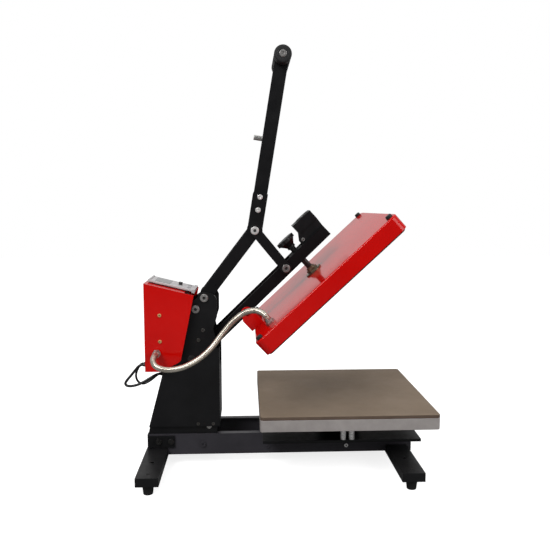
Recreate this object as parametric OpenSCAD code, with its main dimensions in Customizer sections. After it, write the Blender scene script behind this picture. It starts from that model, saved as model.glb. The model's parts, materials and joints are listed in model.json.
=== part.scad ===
/* [Base] */
// Outer width across the two base rails
base_w = 120; // [120:1:120]
// Length of the base rails
rail_len = 607; // [607:1:607]
// Height of the channel rails
rail_h = 48; // [48:1:48]
// Length of each foot beam across the base
beam_len = 442; // [400:2:460]
// Width of each foot beam
beam_w = 48; // [48:1:48]
// Height of the rubber feet
foot_h = 22; // [22:1:22]

/* [Lower platen] */
// Side of the square platens
platen_side = 380; // [380:5:380]
// Distance of the platen centre in front of the origin
platen_x = 128; // [128:1:128]
// Thickness of the silicone pad
pad_t = 8; // [6:1:8]
// Depth of the lower platen tray
tray_h = 25; // [25:1:25]
// Height of the pad's top face above the ground
pad_top = 155; // [155:1:155]

/* [Head] */
// Angle between the closed and the open head
open_angle = 43; // [43:1:43]
// Side of the heat platen cover
cover_side = 390; // [390:1:390]
// Height of the heat platen cover
cover_h = 36; // [36:1:36]
// Gap left for the garment between the closed platens
closed_gap = 2; // [2:0.5:3]
// Depth of the arm bars
arm_h = 26; // [26:1:26]
// Upward tilt of the arm bars against the platen
arm_tilt = 1.2; // [1.2:0.1:1.2]

/* [Handle] */
// Distance from the knee to the middle of the grip
handle_len = 384; // [384:1:384]
// Lean of the handle bars from the horizontal, head open
handle_lean = 80.8; // [80.8:0.1:80.8]
// Depth of the handle bars
bar_h = 30; // [28:1:30]
// Overall width of the cross grip
grip_w = 144; // [130:2:150]
// Radius of the foam grip
grip_r = 19.3; // [17:0.1:20]

/* [Hidden] */
$fn = 64;
EPS = 0.01;
RUN = 0.05;            // radial running clearance

// pivots in the side view, as [x, z]
ARM_PIVOT = [-214, 247.5];
LEVER_PIVOT = [-184.1, 386.5];
KNEE = [-69.9, 536.8];
TOGGLE_CLOSED = [82.05, 251.1];   // arm end of the links, head closed
TIE_BOLT = [-203.5, 361];
GAS_FOOT = [-205, 98];
GAS_HEAD_CLOSED = [-154, 241.5];

pin_r = 8;
head_r = 9.2;
toggle_shaft_r = 6;

// base levels
beam_z0 = foot_h;
beam_h = 19;
rail_z0 = 26;
rail_z1 = rail_z0 + rail_h;
rail_x0 = -316;
rail_x1 = rail_x0 + rail_len;
rail_y1 = base_w / 2;
rail_flange = 15;
foot_bolts = [[-290, 58], [-262, 58], [-190, 50]];
sheet = 3;
rear_beam_x = -318;
front_beam_x = 232;
foot_x = [rear_beam_x + beam_w / 2, front_beam_x + beam_w / 2];
foot_y = beam_len / 2 - 20;
bench_y = 140;         // holes for bolting the press to a bench
bench_r = 4.5;

// drawer levels
plate_x0 = -55;
plate_x1 = 296;
plate_half = 125;
plate_z0 = rail_z1 + 1;
plate_z1 = plate_z0 + sheet;
tray_z1 = pad_top - pad_t;
tray_z0 = tray_z1 - tray_h;
post_x = [123, 142];
post_y = 118;
post_r = 6.5;

// layers across the machine, as distances from the middle plane
arm_y = [24, 34];
ear_y = [36.5, 39.5];
bar_y = [30, 42];
lever_y = [42, 48];
link_y = [49, 54];
column_y = [50, 56];
shroud_y = [60.5, 62];

// head levels, head closed
heat_z0 = pad_top + closed_gap;
heat_t = 14;
cover_z0 = heat_z0 + 3.2;
cover_z1 = cover_z0 + cover_h;
cover_t = 1.5;
cover_x = 127.9;
screw_x = 124;
screw_r = 7;
corner_screw = 181;
ear_x = -53;
ear_z = 235.1;
ear_r = 14.5;
ear_back = -73;         // rear edge of the fork's foot
guide_z = 239.4;        // guide bolt of the platen
guide_slot = [233.6, 241.3];
fitting_x = -20;
fitting_y = -132;
fitting_nut = 5.5;
fitting_tilt = 12;      // lean of the hose outlet
magnet_x = [158, 211];
magnet_z = [284, 310];
magnet_c = 189;
magnet_r = 20;

// control box side view, as [x, z]
BOX = [[-315.5, 421.8], [-205.7, 394.8], [-236, 248.2], [-244, 242], [-283, 223.4], [-315.5, 223.4]];
box_half = 75;
box_t = 1.5;
box_screws = [[-281.5, 351], [-281.5, 292]];
panel_slope = atan2(BOX[0][1] - BOX[1][1], BOX[1][0] - BOX[0][0]);
panel_len = 108;
panel_half = 42;
panel_x = -311.5;
button_at = 70;
key_at = [91, 18];
panel_gap = 2.2;
panel_t = 4;
hose_port = [-289, 266];

// handle, measured from the knee along and across the bars
lever_top = 84;
lever_w = 33;
leg_w = 28;
keeper_s = 207;

// routes of the free cords
HOSE_R = 6.5;
HOSE = concat([
    [-289, -92, 266], [-289, -97, 266],
    [-290.5, -108, 264.5], [-290.5, -120, 260.5], [-287, -131, 255.5], [-280, -140, 251.5],
    [-269, -146, 248.5], [-255, -149.5, 247], [-240, -149, 248], [-225, -146, 251],
    [-212, -142, 255.5], [-200, -137, 261], [-187, -130, 268.5], [-175, -122, 277.5],
    [-164, -114, 288], [-154, -107, 299.5], [-145, -102, 311], [-136, -98.5, 321.5],
    [-127, -96.5, 332], [-117, -96, 342], [-107, -97, 350.5], [-97, -100, 357.6],
    [-88, -105, 362.6], [-79, -110.5, 365.6], [-72, -115.5, 366.9], [-66, -120.5, 366.9],
    [-60.4, -125, 365.8], [-54.6, -129, 363.3], [-49.6, -131.5, 359.4]
], [for (h = [10, 7]) hose_end(h)]);
POWER_R = 3;
POWER_LEAD = [
    [-326, -40, 231], [-330, -40, 231], [-337, -40, 226.5], [-345, -40.5, 217], [-354, -41, 206],
    [-362, -42, 196.5], [-366, -43, 189.5], [-363, -44, 184.5], [-353, -44, 183],
    [-339, -43, 185.5], [-325, -41, 191.5], [-311, -39, 199.5], [-298, -37, 206.5],
    [-289, -36, 208.5], [-281, -36, 207], [-275, -36, 205.4]
];
SIGNAL_R = 2.5;
SIGNAL_LEAD = [
    [-326, -27, 231], [-330, -27, 231], [-336, -27, 225.5], [-341, -27.5, 216], [-344, -28, 206],
    [-343, -28, 196], [-338, -28, 187.5], [-328, -28, 184], [-317, -27.5, 188],
    [-306, -27, 195.5], [-296, -26, 203.5], [-289, -25, 207.5], [-281, -25, 207],
    [-275, -25, 205.4]
];

// a point on the angled outlet of the heat platen's hose fitting, h beyond its nut, head open
function fitting_point(h) = lifted([
    fitting_x + h * sin(fitting_tilt), cover_z1 + fitting_nut + h * cos(fitting_tilt)
]);
function hose_end(h) = [fitting_point(h)[0], fitting_y, fitting_point(h)[1]];

// ---------- helpers ----------

// both sides of the middle plane
module both_sides() {
    children();
    mirror([0, 1, 0]) children();
}

// a side-view outline given in x and z, spanning y[0] to y[1]
module slab(y) {
    translate([0, y[1], 0]) rotate([90, 0, 0]) linear_extrude(y[1] - y[0]) children();
}

// a round bar across the machine at p = [x, z]
module bar_across(p, r, y) {
    translate([p[0], y[0], p[1]]) rotate([-90, 0, 0]) cylinder(r = r, h = y[1] - y[0]);
}

// lifts the head and arm from the closed to the open position
module raised() {
    translate([ARM_PIVOT[0], 0, ARM_PIVOT[1]]) rotate([0, -open_angle, 0])
        translate([-ARM_PIVOT[0], 0, -ARM_PIVOT[1]]) children();
}

// a point [x, z] of the closed head, taken to the open position
function lifted(p) = ARM_PIVOT + [
    (p[0] - ARM_PIVOT[0]) * cos(open_angle) - (p[1] - ARM_PIVOT[1]) * sin(open_angle),
    (p[0] - ARM_PIVOT[0]) * sin(open_angle) + (p[1] - ARM_PIVOT[1]) * cos(open_angle)
];

// outline of a bar with round ends from p to q, in the plane of the outline
module round_bar_2d(p, q, w, rp, rq) {
    d = q - p;
    translate(p) rotate(atan2(d[1], d[0])) translate([0, -w / 2]) square([norm(d), w]);
    translate(p) circle(rp);
    translate(q) circle(rq);
}

module rounded_square_2d(side, r) {
    square([side, side - 2 * r], center = true);
    square([side - 2 * r, side], center = true);
    for (sx = [-1, 1], sy = [-1, 1]) translate([sx, sy] * (side / 2 - r)) circle(r);
}

// hexagon bolt head on the outside of y0, with a washer under it
module bolt_head_across(p, r, y0, h) {
    translate([p[0], y0, p[1]]) rotate([-90, 0, 0]) {
        cylinder(r = r, h = h * 0.25);
        difference() {
            cylinder(r = r * 0.86, h = h);
            translate([0, 0, h * 0.45]) cylinder(r = r * 0.42, h = h, $fn = 6);
        }
    }
}

// origin on the knee, x along the handle bars, y towards the front of the machine when closed
module handle_frame() {
    translate([KNEE[0], 0, KNEE[1]]) rotate([0, -handle_lean, 0]) children();
}

function unit(v) = v / norm(v);
function tangent(p, i) = unit(p[min(i + 1, len(p) - 1)] - p[max(i - 1, 0)]);

// tube of radius r swept along the points p, with n sides
module swept_tube(p, r, n) {
    start = unit(cross(tangent(p, 0), [0.3, 0.2, 0.93]));
    side = [for (i = 0, s = start; i < len(p); i = i + 1,
        s = i < len(p) ? unit(s - tangent(p, i) * (s * tangent(p, i))) : s) s];
    ring = [for (i = [0 : len(p) - 1], k = [0 : n - 1])
        p[i] + r * (cos(360 * k / n) * side[i] + sin(360 * k / n) * cross(tangent(p, i), side[i]))];
    last = len(p) - 1;
    polyhedron(ring, concat(
        [[for (k = [0 : n - 1]) k]],
        [[for (k = [n - 1 : -1 : 0]) last * n + k]],
        [for (i = [0 : last - 1], k = [0 : n - 1])
            [i * n + k, (i + 1) * n + k, (i + 1) * n + (k + 1) % n, i * n + (k + 1) % n]]
    ));
}

// ---------- base ----------

module base_rails() {
    color("#1b1b1d") both_sides() difference() {
        translate([rail_x0, rail_y1 - rail_flange, rail_z0]) cube([rail_len, rail_flange, rail_h]);
        translate([rail_x0 - 1, rail_y1 - rail_flange - 1, rail_z0 + sheet])
            cube([rail_len + 2, rail_flange + 1 - sheet, rail_h - 2 * sheet]);
        // seats over the two foot beams
        for (x = [rear_beam_x, front_beam_x]) translate([x, 0, rail_z0 - 1])
            cube([beam_w, rail_y1 + 1, beam_z0 + beam_h - rail_z0 + 1]);
        // slot in the top flange for the column plate
        translate([-303, column_y[0] - 0.5, rail_z1 - sheet - 1])
            cube([146, column_y[1] - column_y[0] + 1, sheet + 2]);
        for (x = [-42, 139.5]) bar_across([x, 41], 3, [0, rail_y1 + 1]);
        for (p = foot_bolts) bar_across(p, 4, [0, rail_y1 + 1]);
    }
}

module foot_beams() {
    color("#1b1b1d") for (x = [rear_beam_x, front_beam_x]) difference() {
        translate([x, -beam_len / 2, beam_z0]) cube([beam_w, beam_len, beam_h]);
        // open underneath but for a plate around each bench hole
        translate([x + sheet, -beam_len / 2 + sheet, beam_z0 + sheet])
            cube([beam_w - 2 * sheet, beam_len - 2 * sheet, beam_h - 2 * sheet]);
        translate([x + sheet, -90, beam_z0 - 1]) cube([beam_w - 2 * sheet, 180, sheet + 2]);
        both_sides() translate([x + sheet, 186, beam_z0 - 1])
            cube([beam_w - 2 * sheet, beam_len / 2 - sheet - 186, sheet + 2]);
        for (y = [-foot_y, foot_y]) translate([x + beam_w / 2, y, beam_z0]) cylinder(r = 4, h = beam_h + 1);
        for (y = [-bench_y, bench_y])
            translate([x + beam_w / 2, y, beam_z0]) cylinder(r = bench_r, h = beam_h + 1);
    }
}

module rubber_feet() {
    color("#161616") for (x = foot_x, y = [-foot_y, foot_y]) translate([x, y, 0]) {
        cylinder(r1 = 10, r2 = 12.5, h = foot_h);
        translate([0, 0, foot_h - EPS]) cylinder(r = 11, h = beam_h - sheet + EPS);
        translate([0, 0, foot_h]) cylinder(r = 3.9, h = beam_h);
    }
}

module base_bolts() {
    color("#9a9a98") {
        // rail to foot beam
        for (x = foot_x, y = [-52, 52]) translate([x, y, beam_z0 + beam_h]) cylinder(r = 4.9, h = 3);
        both_sides() {
            // drawer rail screws through the rail web
            for (x = [-42, 139.5]) {
                bar_across([x, 41], 3, [rail_y1 - sheet, rail_y1]);
                bolt_head_across([x, 41], 4.6, rail_y1, 2.6);
            }
            // column foot bolts through bracket, web and plate
            for (i = [0, 1]) {
                bar_across(foot_bolts[i], 4, [column_y[0], rail_y1 + 4]);
                bolt_head_across(foot_bolts[i], 7, rail_y1 + 4, 4);
            }
            bar_across(foot_bolts[2], 4, [column_y[0], rail_y1]);
            bolt_head_across(foot_bolts[2], 7, rail_y1, 4);
        }
    }
}

module drawer_outer_rails() {
    color("#b9bcc0") both_sides() difference() {
        translate([-58, 50, 33]) cube([288, 7, 35]);
        translate([-59, 49, 35.5]) cube([290, 5.5, 30]);
    }
}

// ---------- column ----------

module column_plate_2d() {
    polygon([
        [-302, 44.5], [-267, 44.5], [-267, 30], [-158, 30], [-158, 290], [-164.5, 316],
        [-155.5, 345], [-155.5, 381], [-159, 389.5], [-167, 396], [-178, 399], [-188, 398.5],
        [-195, 394], [-199.5, 386], [-219, 372], [-252, 250], [-268, 212], [-300, 98],
        [-310.5, 91], [-314, rail_z1 + 0.3], [-302, rail_z1 + 0.3]
    ]);
}

module column_plates() {
    color("#1a1a1c") both_sides() difference() {
        slab(column_y) column_plate_2d();
        bar_across(ARM_PIVOT, pin_r, [40, 60]);
        bar_across(LEVER_PIVOT, pin_r, [40, 60]);
        bar_across(TIE_BOLT, pin_r, [40, 60]);
        bar_across(GAS_FOOT, 5, [40, 60]);
        for (p = [[-262, 112], [-176, 90]]) bar_across(p, 6, [40, 60]);
        for (p = foot_bolts) bar_across(p, 4, [40, 60]);
    }
}

// cross bolts that tie the two plates together
module column_cross_bolts() {
    color("#8d8f92") {
        bar_across(TIE_BOLT, pin_r, [-column_y[1], column_y[1]]);
        both_sides() bolt_head_across(TIE_BOLT, head_r, column_y[1], 4.5);
        bar_across(GAS_FOOT, 5, [-column_y[1], column_y[1]]);
        for (p = [[-262, 112], [-176, 90]]) {
            bar_across(p, 6, [-column_y[1], column_y[1]]);
            bar_across(p, 10, [-column_y[0], column_y[0]]);
        }
    }
}

module column_foot_brackets() {
    color("#202022") both_sides() difference() {
        translate([-314, rail_y1, 44]) cube([60, 4, 27]);
        for (i = [0, 1]) bar_across(foot_bolts[i], 4, [rail_y1 - 1, rail_y1 + 5]);
    }
}

module column_shroud() {
    shroud_sides();
    shroud_ends();
}

module shroud_sides() {
    color("#18181a") both_sides() difference() {
        slab(shroud_y) polygon([[-311.7, 92], [-151, 92], [-151, 273], [-158, 273], [-279, 215]]);
        for (p = [[-166, 98], [-200, 98]]) bar_across(p, 2, [50, 70]);
    }
}

module shroud_ends() {
    color("#18181a") {
        difference() {
            translate([-152.5, -shroud_y[0], 92]) cube([1.5, 2 * shroud_y[0], 180]);
            translate([-154, -40, 222]) cube([5, 80, 60]);
        }
        difference() {
            slab([-shroud_y[0], shroud_y[0]])
                polygon([[-311.7, 92], [-309.9, 92], [-277.2, 215], [-279, 215]]);
            // bushed holes for the two leads
            lead_entry(-36) cylinder(r = POWER_R + 0.5, h = 20, center = true);
            lead_entry(-25) cylinder(r = SIGNAL_R + 0.5, h = 20, center = true);
        }
    }
}

// axis of a lead's hole in the sloping rear cover
module lead_entry(y) {
    translate([-281.1, y, 207]) rotate([0, 105, 0]) children();
}

module cover_screws() {
    color("#a9a18c") both_sides() {
        for (p = [[-166, 98], [-200, 98]]) {
            bar_across(p, 2, [shroud_y[0] - 4, shroud_y[1]]);
            bolt_head_across(p, 4, shroud_y[1], 2);
        }
        for (p = box_screws) {
            bar_across(p, 2, [box_half - 6, box_half]);
            bolt_head_across(p, 4, box_half, 2.2);
        }
        for (p = [[-187.5, 313.5], [-197.5, 291]]) bolt_head_across(p, 4.5, column_y[1], 2.6);
    }
}

module arm_shaft() {
    color("#8d8f92") {
        bar_across(ARM_PIVOT, pin_r, [-column_y[1], column_y[1]]);
        both_sides() {
            bolt_head_across(ARM_PIVOT, head_r, column_y[1], 4);
            difference() {
                bar_across(ARM_PIVOT, 12, [36.4, column_y[0]]);
                bar_across(ARM_PIVOT, pin_r, [30, 60]);
            }
        }
    }
}

module handle_shaft() {
    color("#8d8f92") {
        bar_across(LEVER_PIVOT, pin_r, [-column_y[1], column_y[1]]);
        both_sides() {
            bolt_head_across(LEVER_PIVOT, head_r, column_y[1], 5);
            difference() {
                bar_across(LEVER_PIVOT, 12, [lever_y[1] + 0.3, column_y[0]]);
                bar_across(LEVER_PIVOT, pin_r, [40, 60]);
            }
        }
    }
}

// ---------- control box ----------

module control_box_shell() {
    half = box_half - box_t;
    color("#c81713") difference() {
        union() {
            both_sides() slab([half, box_half]) polygon(BOX);
            translate([BOX[5][0], -half, BOX[5][1]]) cube([box_t, 2 * half, BOX[0][1] - BOX[5][1]]);
            translate([BOX[5][0], -half, BOX[5][1]]) cube([44, 2 * half, box_t]);
            slab([-half, half]) polygon([BOX[0], [-227, 400.04], [-227, 398.4], [-315.5, 420.2]]);
        }
        translate([hose_port[0], -box_half - 1, hose_port[1]]) rotate([-90, 0, 0]) cylinder(r = 7, h = 5);
        for (y = [-40, -27]) translate([BOX[5][0] - 1, y, 231]) rotate([0, 90, 0]) cylinder(r = 4, h = 5);
        translate([-290, half - 1, 318]) cube([13.2, 5, 19.2], center = true);
        translate([-290, half + 1, 318]) cube([13.2, 5, 19.2], center = true);
        for (p = box_screws) bar_across(p, 2, [-80, 80]);
    }
}

// inner wall of the box, just behind the column plates
module control_box_back_plate() {
    color("#2a2a2c") slab([-box_half + box_t, box_half - box_t])
        polygon([
            [-225.8, 397.8], [-227.3, 398], [-257.8, 250.6], [-271.6, 228], [-270.2, 227.2], [-256.2, 250]
        ]);
}

// origin on the box's sloping top at the rear end of the panel, x down the slope, z square to it
module panel_frame() {
    translate([panel_x, 0, BOX[0][1] - (panel_x - BOX[0][0]) * tan(panel_slope)])
        rotate([0, panel_slope, 0]) children();
}

module panel_gasket() {
    color("#101010") panel_frame() difference() {
        translate([3, -panel_half + 2, 0]) cube([80, 2 * panel_half - 4, panel_gap]);
        translate([8, -panel_half + 8, -1]) cube([69, 2 * panel_half - 16, panel_gap + 2]);
    }
}

module control_panel() {
    color("#c9c9cb") panel_frame() difference() {
        union() {
            translate([0, -panel_half, panel_gap]) cube([panel_len, 2 * panel_half, panel_t]);
            // raised lips at the two ends of the faceplate
            translate([0, -panel_half, panel_gap]) cube([4, 2 * panel_half, panel_t + 1.5]);
            translate([panel_len - 7, -panel_half, panel_gap - 3]) cube([7, 2 * panel_half, panel_t + 5]);
        }
        translate([14, -28, panel_gap + panel_t - 1.5]) cube([34, 56, 2]);
        for (side = [-1, 1]) translate([key_at[0], side * key_at[1], 0]) cylinder(r = 4.35, h = 20);
        translate([button_at, 0, 0]) cylinder(r = 4.85, h = 20);
    }
}

module display_window() {
    color("#151c22") panel_frame() translate([14, -28, panel_gap + panel_t - 1.5]) cube([34, 56, 1.8]);
}

module key_cap(x, y, r, low, high) {
    panel_frame() translate([x, y, panel_gap + low]) cylinder(r = r, h = high - low);
}

module start_button() {
    color("#111111") key_cap(button_at, 0, 4.5, 0.2, panel_t + 6.5);
}

module up_key() {
    color("#5c6064") key_cap(key_at[0], key_at[1], 4, 1, panel_t + 2);
}

module down_key() {
    color("#5c6064") key_cap(key_at[0], -key_at[1], 4, 1, panel_t + 2);
}

// board, relay and terminal strip, standing on the back of the box
module circuit_board() {
    color("#2f6b45") translate([-308, -55, 262]) cube([1.6, 110, 120]);
    color("#9a9a98") for (y = [-50, 50], z = [267, 377])
        translate([BOX[5][0] + box_t, y, z]) rotate([0, 90, 0]) cylinder(r = 3, h = 6);
    color("#26272b") {
        translate([-306.4, -48, 270]) cube([22, 45, 58]);
        translate([-306.4, 8, 275]) cube([10, 38, 14]);
        translate([-306.4, 12, 320]) cube([16, 30, 30]);
    }
}

module power_switch() {
    color("#101012") translate([-290, 77, 318]) rotate([7, 0, 0]) difference() {
        rotate([0, 90, 0]) cylinder(r = 8, h = 11, center = true);
        translate([-10, 2.2, -20]) cube([20, 20, 40]);
    }
}

module hose_box_fitting() {
    color("#9b9b97") {
        translate([hose_port[0], -box_half, hose_port[1]]) rotate([90, 0, 0]) {
            cylinder(r = 9.5, h = 7, $fn = 6);
            cylinder(r = 7.6, h = 17);
        }
        translate([hose_port[0], -box_half, hose_port[1]]) rotate([-90, 0, 0]) cylinder(r = 6.6, h = 6);
    }
}

module lead_glands() {
    color("#141414") for (y = [-40, -27]) {
        translate([BOX[5][0] + 5, y, 231]) rotate([0, -90, 0]) {
            cylinder(r = 3.9, h = 8);
            translate([0, 0, 5]) cylinder(r1 = 5.2, r2 = 3.2, h = 10.5);
        }
    }
}

// ---------- drawer ----------

module slide_plate() {
    color("#1c1c1e") {
        difference() {
            union() {
                translate([plate_x0, -plate_half, plate_z0])
                    cube([plate_x1 - plate_x0, 2 * plate_half, sheet]);
                both_sides() {
                    translate([plate_x0, plate_half - sheet, plate_z0 - 3])
                        cube([plate_x1 - plate_x0, sheet, 3 + EPS]);
                    translate([-50, 40, 46]) cube([290, sheet, plate_z0 - 46 + EPS]);
                }
            }
            for (x = post_x, y = [-post_y, post_y]) translate([x, y, 60]) cylinder(r = 3, h = 30);
        }
    }
}

module drawer_inner_rails() {
    color("#c3c6c9") both_sides() translate([-52, 43, 46]) cube([290, 10, 13]);
}

module platen_pedestal() {
    color("#232325") difference() {
        translate([platen_x - 45, -40, plate_z1]) cube([90, 80, tray_z1 - 8 - plate_z1]);
        translate([platen_x - 46, -35, plate_z1 + 5]) cube([92, 70, tray_z1 - 8 - plate_z1 - 10]);
    }
}

module platen_posts() {
    color("#d9d9d6") for (x = post_x, y = [-post_y, post_y]) {
        translate([x, y, plate_z1]) cylinder(r = post_r, h = tray_z1 - 8 - plate_z1);
        translate([x, y, plate_z0 - 3]) cylinder(r = 3, h = 7);
    }
}

module lower_platen() {
    color("#b4b1ad") translate([platen_x, 0, tray_z0]) difference() {
        linear_extrude(tray_h) rounded_square_2d(platen_side, 6);
        translate([0, 0, -1]) linear_extrude(tray_h - 8 + 1) rounded_square_2d(platen_side - 14, 4);
    }
}

module silicone_pad() {
    color("#7a6a5b") translate([platen_x, 0, tray_z1])
        linear_extrude(pad_t) rounded_square_2d(platen_side, 6);
}

// ---------- arm ----------

// side-view frame of the arm bars: origin on the arm pivot, x along the bars
module arm_line() {
    translate(ARM_PIVOT) rotate(arm_tilt) children();
}

arm_len = 423;
arm_drop = 6.3;

module arm_bars() {
    color("#1a1a1c") raised() both_sides() difference() {
        slab(arm_y) arm_line() {
            circle(20);
            translate([0, -arm_drop - arm_h / 2]) square([arm_len, arm_h]);
        }
        bar_across(ARM_PIVOT, 16, [20, 40]);
        bar_across(TOGGLE_CLOSED, toggle_shaft_r, [20, 40]);
        bar_across([ear_x, guide_z], 5, [20, 40]);
        bar_across(GAS_HEAD_CLOSED, 6, [20, 40]);
    }
}

module arm_hub() {
    color("#242426") raised() difference() {
        bar_across(ARM_PIVOT, 16, [-arm_y[1], arm_y[1]]);
        bar_across(ARM_PIVOT, 11, [-arm_y[1] - 1, arm_y[1] + 1]);
    }
}

module arm_bushes() {
    color("#a9803c") raised() both_sides() difference() {
        union() {
            bar_across(ARM_PIVOT, 11, [16, arm_y[1]]);
            bar_across(ARM_PIVOT, 15, [arm_y[1], 36]);
        }
        bar_across(ARM_PIVOT, pin_r + RUN, [10, 40]);
    }
}

// cross shaft of the toggle, guide bolt of the platen and the two gas spring studs
module arm_cross_shafts() {
    color("#8d8f92") raised() {
        bar_across(TOGGLE_CLOSED, toggle_shaft_r, [-arm_y[1], arm_y[1]]);
        bar_across([ear_x, guide_z], 5, [-40, 40]);
        both_sides() {
            bolt_head_across([ear_x, guide_z], 6.5, 40, 3.6);
            bar_across(GAS_HEAD_CLOSED, 6, [7, arm_y[1]]);
        }
    }
}

module screw_nut_block() {
    color("#2a2a2c") raised() difference() {
        translate([screw_x - 20, -arm_y[0], 237]) cube([40, 2 * arm_y[0], 23]);
        translate([screw_x, 0, 200]) cylinder(r = screw_r + RUN, h = 100);
    }
}

module magnet_bracket() {
    color("#1d1d1f") raised() difference() {
        union() {
            translate([magnet_x[0], -26, magnet_z[0]])
                cube([magnet_x[1] - magnet_x[0], 52, magnet_z[1] - 1.5 - magnet_z[0]]);
            both_sides() slab([18, arm_y[0]]) polygon([
                [145, 245], [208, 245], [211, magnet_z[0] + 1], [magnet_x[0], magnet_z[0] + 1], [147, 269.5]
            ]);
            both_sides() bolt_head_across([155, 269.8], 4.2, arm_y[0], 3);
        }
        translate([magnet_c, 0, magnet_z[0] + 4]) cylinder(r = magnet_r, h = 40);
    }
}

// round pot magnet with its pole, ring gap and rim
module electromagnet() {
    color("#3a3a3c") raised() translate([magnet_c, 0, magnet_z[0] + 4]) difference() {
        cylinder(r = magnet_r, h = magnet_z[1] - magnet_z[0] - 4);
        translate([0, 0, magnet_z[1] - magnet_z[0] - 5.5]) difference() {
            cylinder(r = 16, h = 5);
            cylinder(r = 9, h = 5);
        }
    }
}

// ---------- heat platen ----------

module heating_plate() {
    color("#2c2a2a") raised() translate([cover_x, 0, heat_z0]) difference() {
        union() {
            linear_extrude(3) rounded_square_2d(platen_side - 4, 12);
            translate([0, 0, 3 - EPS]) linear_extrude(heat_t - 3 + EPS) rounded_square_2d(platen_side, 14);
        }
        for (sx = [-1, 1], sy = [-1, 1])
            translate([sx * corner_screw, sy * corner_screw, 6]) cylinder(r = 3, h = heat_t);
    }
}

module insulation_blanket() {
    color("#d8d2bd") raised() translate([cover_x, 0, heat_z0 + heat_t]) linear_extrude(18)
        rounded_square_2d(344, 10);
}

module platen_cover() {
    color("#c81713") raised() difference() {
        translate([cover_x, 0, cover_z0]) linear_extrude(cover_h) rounded_square_2d(cover_side, 18);
        translate([cover_x, 0, cover_z0 - 1]) linear_extrude(cover_h - cover_t + 1)
            rounded_square_2d(cover_side - 2 * cover_t, 18 - cover_t);
        for (sx = [-1, 1], sy = [-1, 1])
            translate([cover_x + sx * corner_screw, sy * corner_screw, cover_z1 - 5]) cylinder(r = 3, h = 10);
        translate([fitting_x, fitting_y, cover_z1 - 5]) cylinder(r = 5, h = 10);
    }
}

module corner_screws() {
    color("#121212") raised() for (sx = [-1, 1], sy = [-1, 1])
        translate([cover_x + sx * corner_screw, sy * corner_screw, 0]) {
            translate([0, 0, heat_z0 + 6]) cylinder(r = 3, h = cover_z1 - heat_z0 - 6 + 1);
            translate([0, 0, cover_z1]) cylinder(r1 = 7.5, r2 = 6.5, h = 7);
        }
}

// flange and hexagon socket that hold the foot of the screw
module swivel_socket() {
    color("#b08d4a") raised() translate([screw_x, 0, cover_z1]) difference() {
        union() {
            cylinder(r = 21, h = 3.5);
            cylinder(r = 14, h = 10, $fn = 6);
            cylinder(r = 10.5, h = 15);
        }
        translate([0, 0, 3]) cylinder(r = screw_r + RUN, h = 20);
    }
}

// red fork that straddles the arm bars and stops the platen turning on its screw
module guide_bracket() {
    color("#b81512") raised() difference() {
        union() {
            translate([ear_back, -ear_y[1], cover_z1])
                cube([ear_x + ear_r - ear_back, 2 * ear_y[1], 2.5]);
            both_sides() slab(ear_y) {
                polygon([
                    [ear_back, cover_z1 + 1], [ear_x + ear_r, cover_z1 + 1], [ear_x + ear_r, ear_z],
                    [ear_x - ear_r, ear_z], [ear_back, 228]
                ]);
                translate([ear_x, ear_z]) circle(ear_r);
            }
        }
        both_sides() {
            for (z = guide_slot) bar_across([ear_x, z], 5.4, [30, 45]);
            translate([ear_x - 5.4, 30, guide_slot[0]]) cube([10.8, 15, guide_slot[1] - guide_slot[0]]);
        }
    }
}

module hose_platen_fitting() {
    color("#a3a39f") raised() translate([fitting_x, fitting_y, cover_z1]) {
        translate([0, 0, -4]) cylinder(r = 5, h = 5);
        cylinder(r = 11, h = fitting_nut, $fn = 6);
        translate([0, 0, fitting_nut - 1]) cylinder(r = 8.2, h = 3);
        // ferrule that grips the hose
        translate([0, 0, fitting_nut]) rotate([0, fitting_tilt, 0]) cylinder(r = 7.5, h = 6.9);
    }
}

// ---------- pressure screw ----------

module pressure_knob() {
    color("#161616") raised() translate([screw_x, 0, 0]) difference() {
        union() {
            translate([0, 0, 271]) cylinder(r = 10, h = 6);
            translate([0, 0, 277]) cylinder(r1 = 10, r2 = 20, h = 12);
            translate([0, 0, 289]) cylinder(r = 23, h = 9);
        }
        for (a = [22.5 : 45 : 337.5]) rotate(a) translate([26.5, 0, 280]) cylinder(r = 6, h = 30);
        translate([0, 0, 260]) cylinder(r = screw_r, h = 30);
    }
}

module pressure_screw() {
    color("#4a4a4c") raised() translate([screw_x, 0, cover_z1 + 3.4])
        cylinder(r = screw_r, h = 290 - cover_z1 - 3.4);
}

// ---------- handle ----------

module lever_plates() {
    top = KNEE + lever_top * [cos(handle_lean), sin(handle_lean)];
    color("#1a1a1c") both_sides() difference() {
        slab(lever_y) {
            round_bar_2d(LEVER_PIVOT, KNEE, leg_w, leg_w / 2 + 1, lever_w / 2 + 1);
            translate(KNEE) rotate(handle_lean) translate([0, -lever_w / 2]) square([lever_top, lever_w]);
        }
        bar_across(LEVER_PIVOT, pin_r + RUN, [40, 50]);
        bar_across(KNEE, pin_r, [40, 50]);
        for (s = [46, 75]) bar_across(KNEE + s * [cos(handle_lean), sin(handle_lean)], 3.5, [40, 50]);
    }
}

// knee shaft and the four screws that hold the bars to the lever plates
module lever_bolts() {
    color("#a7a8a8") {
        bar_across(KNEE, pin_r, [-link_y[1] - 0.4, link_y[1] + 0.4]);
        both_sides() {
            bolt_head_across(KNEE, head_r, link_y[1] + 0.4, 5);
            for (s = [46, 75]) {
                p = KNEE + s * [cos(handle_lean), sin(handle_lean)];
                bar_across(p, 3.5, [bar_y[0], lever_y[1]]);
                bolt_head_across(p, 6, lever_y[1], 3);
            }
        }
    }
}

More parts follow.
